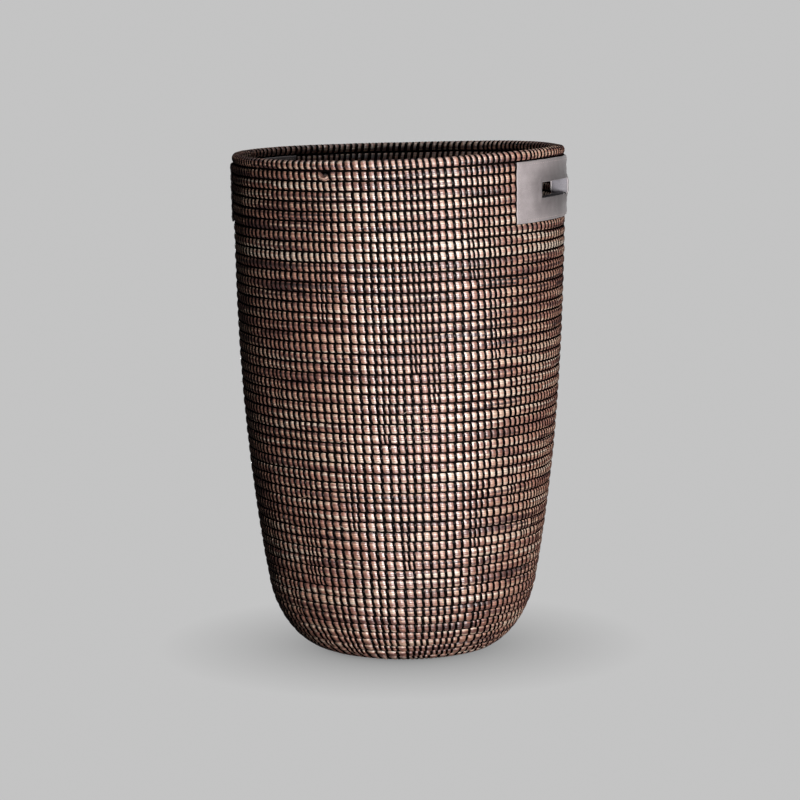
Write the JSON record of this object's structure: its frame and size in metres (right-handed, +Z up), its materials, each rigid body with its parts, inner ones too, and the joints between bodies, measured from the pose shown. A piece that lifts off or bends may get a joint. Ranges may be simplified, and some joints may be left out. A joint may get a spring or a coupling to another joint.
{
  "type": "coiled laundry basket",
  "caption": "Tall round laundry basket of coiled grass rows sewn with black plastic strip, open at the top, with a leather-faced hand slot on each side.",
  "frame": {"origin": "centre of the flat base, on the surface that the basket stands on", "axes": "+Z up along the basket's axis, +X through the right hand slot, -Y to the front"},
  "size_m": [0.404, 0.396, 0.6],
  "materials": {
    "sewn_grass": "dry striped grass stems in buff, cream and red-brown, faint satin",
    "plastic_strip": "flat black plastic strip, softly glossy",
    "grey_leather": "matt warm grey leather, lightly mottled",
    "lining_leather": "paler matt leather, folded through the slot",
    "sewing_thread": "waxed grey thread"
  },
  "bodies": {
    "root": {"base_start_knot": "sewn_grass", "base_coil": "sewn_grass", "foot_coil": "sewn_grass", "lower_wall_coil": "sewn_grass", "middle_wall_coil": "sewn_grass", "upper_wall_coil": "sewn_grass", "front_slot_coil": "sewn_grass", "back_slot_coil": "sewn_grass", "over_slot_coil": "sewn_grass", "rim_coil": "sewn_grass", "left_outer_patch": "grey_leather", "left_inner_patch": "grey_leather", "left_slot_lining": "lining_leather", "left_outer_thread": "sewing_thread", "left_inner_thread": "sewing_thread", "right_outer_patch": "grey_leather", "right_inner_patch": "grey_leather", "right_slot_lining": "lining_leather", "right_outer_thread": "sewing_thread", "right_inner_thread": "sewing_thread"}
  },
  "joints": []
}
